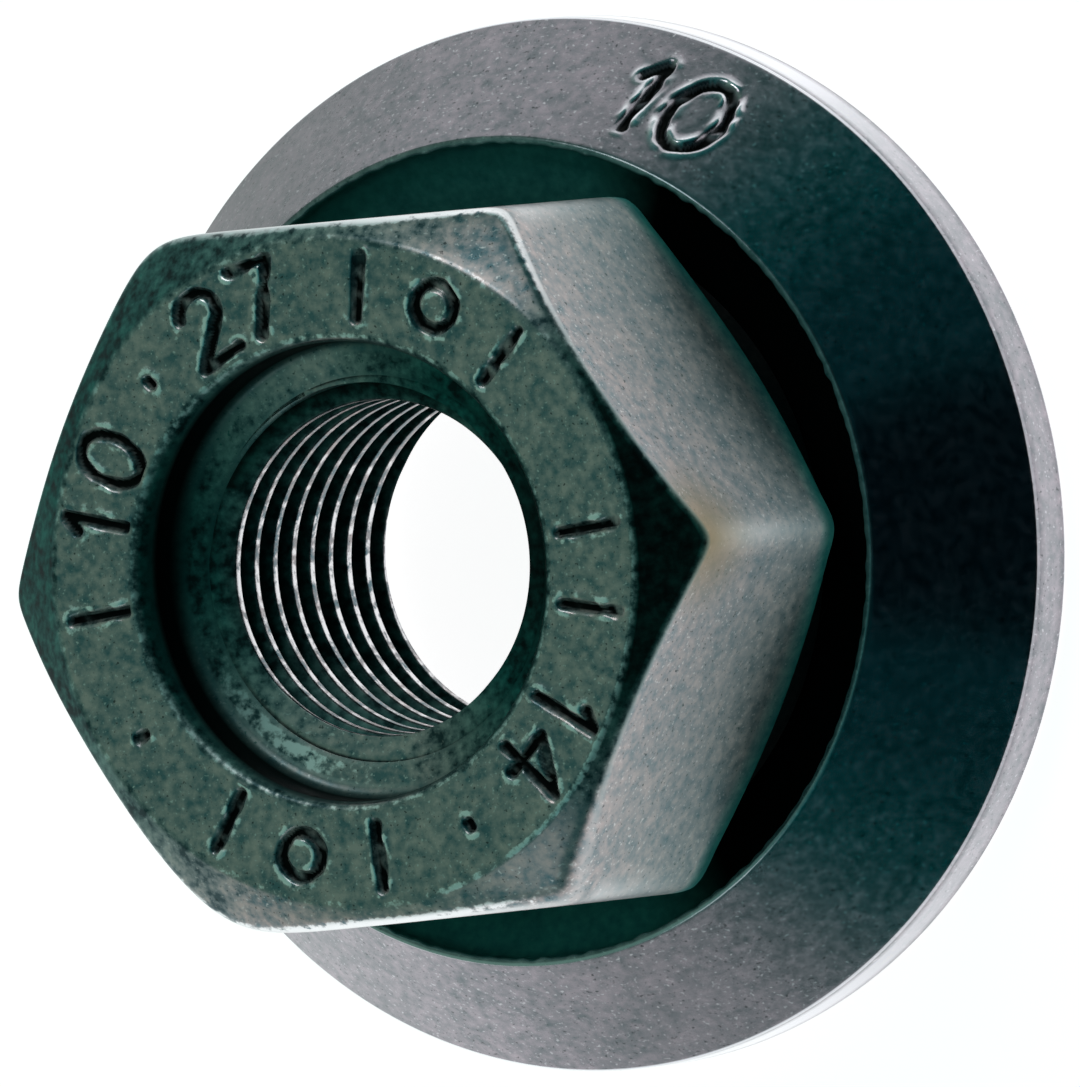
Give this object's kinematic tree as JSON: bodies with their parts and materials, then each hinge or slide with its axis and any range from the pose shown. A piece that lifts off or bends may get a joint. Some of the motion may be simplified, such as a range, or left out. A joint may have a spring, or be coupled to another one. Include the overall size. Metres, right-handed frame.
{
  "type": "wheel nut",
  "caption": "Hexagon wheel nut with an open threaded bore and a captive conical washer that turns freely on the nut and spreads its clamp load on the wheel.",
  "frame": {"origin": "centre of the washer's bearing face, on the nut's axis", "axes": "+Z along the axis from the bearing face to the nut's end face, +X through a corner of the hexagon"},
  "size_m": [0.0406, 0.0406, 0.0202],
  "materials": {
    "nut_steel": "forged steel, black phosphate and oil, matt and fine-grained",
    "washer_steel": "forged steel, black phosphate and oil, matt and fine-grained, darker than the nut"
  },
  "bodies": {
    "nut": {"hex_nut": "nut_steel"},
    "washer": {"captive_washer": "washer_steel"}
  },
  "joints": [
    {"name": "washer_spin", "type": "hinge", "parent": "nut", "child": "washer", "pos_m": [0, 0, 0], "axis": [0, 0, 1], "continuous": true}
  ]
}
